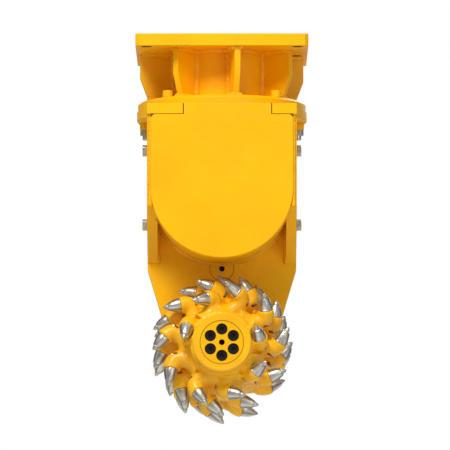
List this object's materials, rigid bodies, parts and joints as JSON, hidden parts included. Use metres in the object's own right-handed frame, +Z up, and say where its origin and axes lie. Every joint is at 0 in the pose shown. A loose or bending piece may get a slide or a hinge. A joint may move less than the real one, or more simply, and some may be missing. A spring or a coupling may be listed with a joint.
{
  "type": "excavator drum cutter",
  "caption": "Twin-drum rock cutter attachment for a small excavator: bolted plate and ribbed adapter, yellow gear housing, and two drums set with conical picks.",
  "frame": {"origin": "centre of the mounting plate's upper face", "axes": "+Z up, away from the drums; Y along the drums' axis; X across it, to the right in the picture"},
  "size_m": [0.5, 0.6, 1.1018],
  "materials": {
    "yellow_paint": "gloss",
    "zinc_plated_steel": "satin",
    "bright_steel": "satin",
    "carbide": "satin",
    "dark_steel": "satin",
    "cast_iron": "matte",
    "black_rubber": "matte"
  },
  "bodies": {
    "housing": {"mounting_plate": "yellow_paint", "adapter_column": "yellow_paint", "adapter_ribs": "yellow_paint", "adapter_flange": "yellow_paint", "flange_cap_screws": "yellow_paint", "flange_studs": "zinc_plated_steel", "stud_sleeves": "yellow_paint", "stud_nuts": "zinc_plated_steel", "housing_top_plate": "yellow_paint", "left_housing_wall": "yellow_paint", "right_housing_wall": "yellow_paint", "near_side_plate": "yellow_paint", "far_side_plate": "yellow_paint", "near_wear_plate": "yellow_paint", "far_wear_plate": "yellow_paint", "gearbox_rim": "yellow_paint", "near_chamber_wall": "yellow_paint", "far_chamber_wall": "yellow_paint", "near_shield": "yellow_paint", "far_shield": "yellow_paint", "left_gearbox_cover": "yellow_paint", "right_gearbox_cover": "yellow_paint", "cover_gaskets": "black_rubber", "cover_bolts": "zinc_plated_steel", "cover_washers": "zinc_plated_steel", "oil_plugs": "zinc_plated_steel", "idler_shaft": "bright_steel", "idler_caps": "yellow_paint", "idler_inner_races": "bright_steel", "idler_thrust_washers": "dark_steel", "near_bearing_carrier": "cast_iron", "far_bearing_carrier": "cast_iron", "carrier_screws": "zinc_plated_steel", "bearing_outer_rings": "bright_steel", "shaft_seals": "black_rubber", "motor_casing": "cast_iron", "motor_end_cover": "cast_iron", "motor_screws": "zinc_plated_steel", "motor_ports": "zinc_plated_steel"},
    "drums": {"drum_shaft": "bright_steel", "drum_gear": "dark_steel", "shaft_keys": "dark_steel", "bearing_inner_rings": "bright_steel", "near_drum_shell": "yellow_paint", "far_drum_shell": "yellow_paint", "near_pick_holders": "yellow_paint", "far_pick_holders": "yellow_paint", "near_picks": "bright_steel", "far_picks": "bright_steel", "near_pick_tips": "carbide", "far_pick_tips": "carbide", "pick_retainers": "zinc_plated_steel", "hub_caps": "yellow_paint", "hub_screws": "dark_steel"},
    "idler": {"idler_gear": "dark_steel", "idler_outer_races": "bright_steel"},
    "motor_drive": {"motor_rotor": "bright_steel", "pinion": "dark_steel", "pinion_retainer": "dark_steel"}
  },
  "joints": [
    {"name": "drum_spin", "type": "hinge", "parent": "housing", "child": "drums", "pos_m": [0, 0, -0.898], "axis": [0, 1, 0], "continuous": true},
    {"name": "idler_spin", "type": "hinge", "parent": "housing", "child": "idler", "pos_m": [0, 0, -0.666], "axis": [0, 1, 0], "continuous": true},
    {"name": "pinion_spin", "type": "hinge", "parent": "housing", "child": "motor_drive", "pos_m": [0, 0, -0.466], "axis": [0, 1, 0], "continuous": true}
  ],
  "couplings": [
    {"joint": "idler_spin", "follows": "drum_spin", "ratio": -0.8125},
    {"joint": "pinion_spin", "follows": "drum_spin", "ratio": 1.4444}
  ]
}
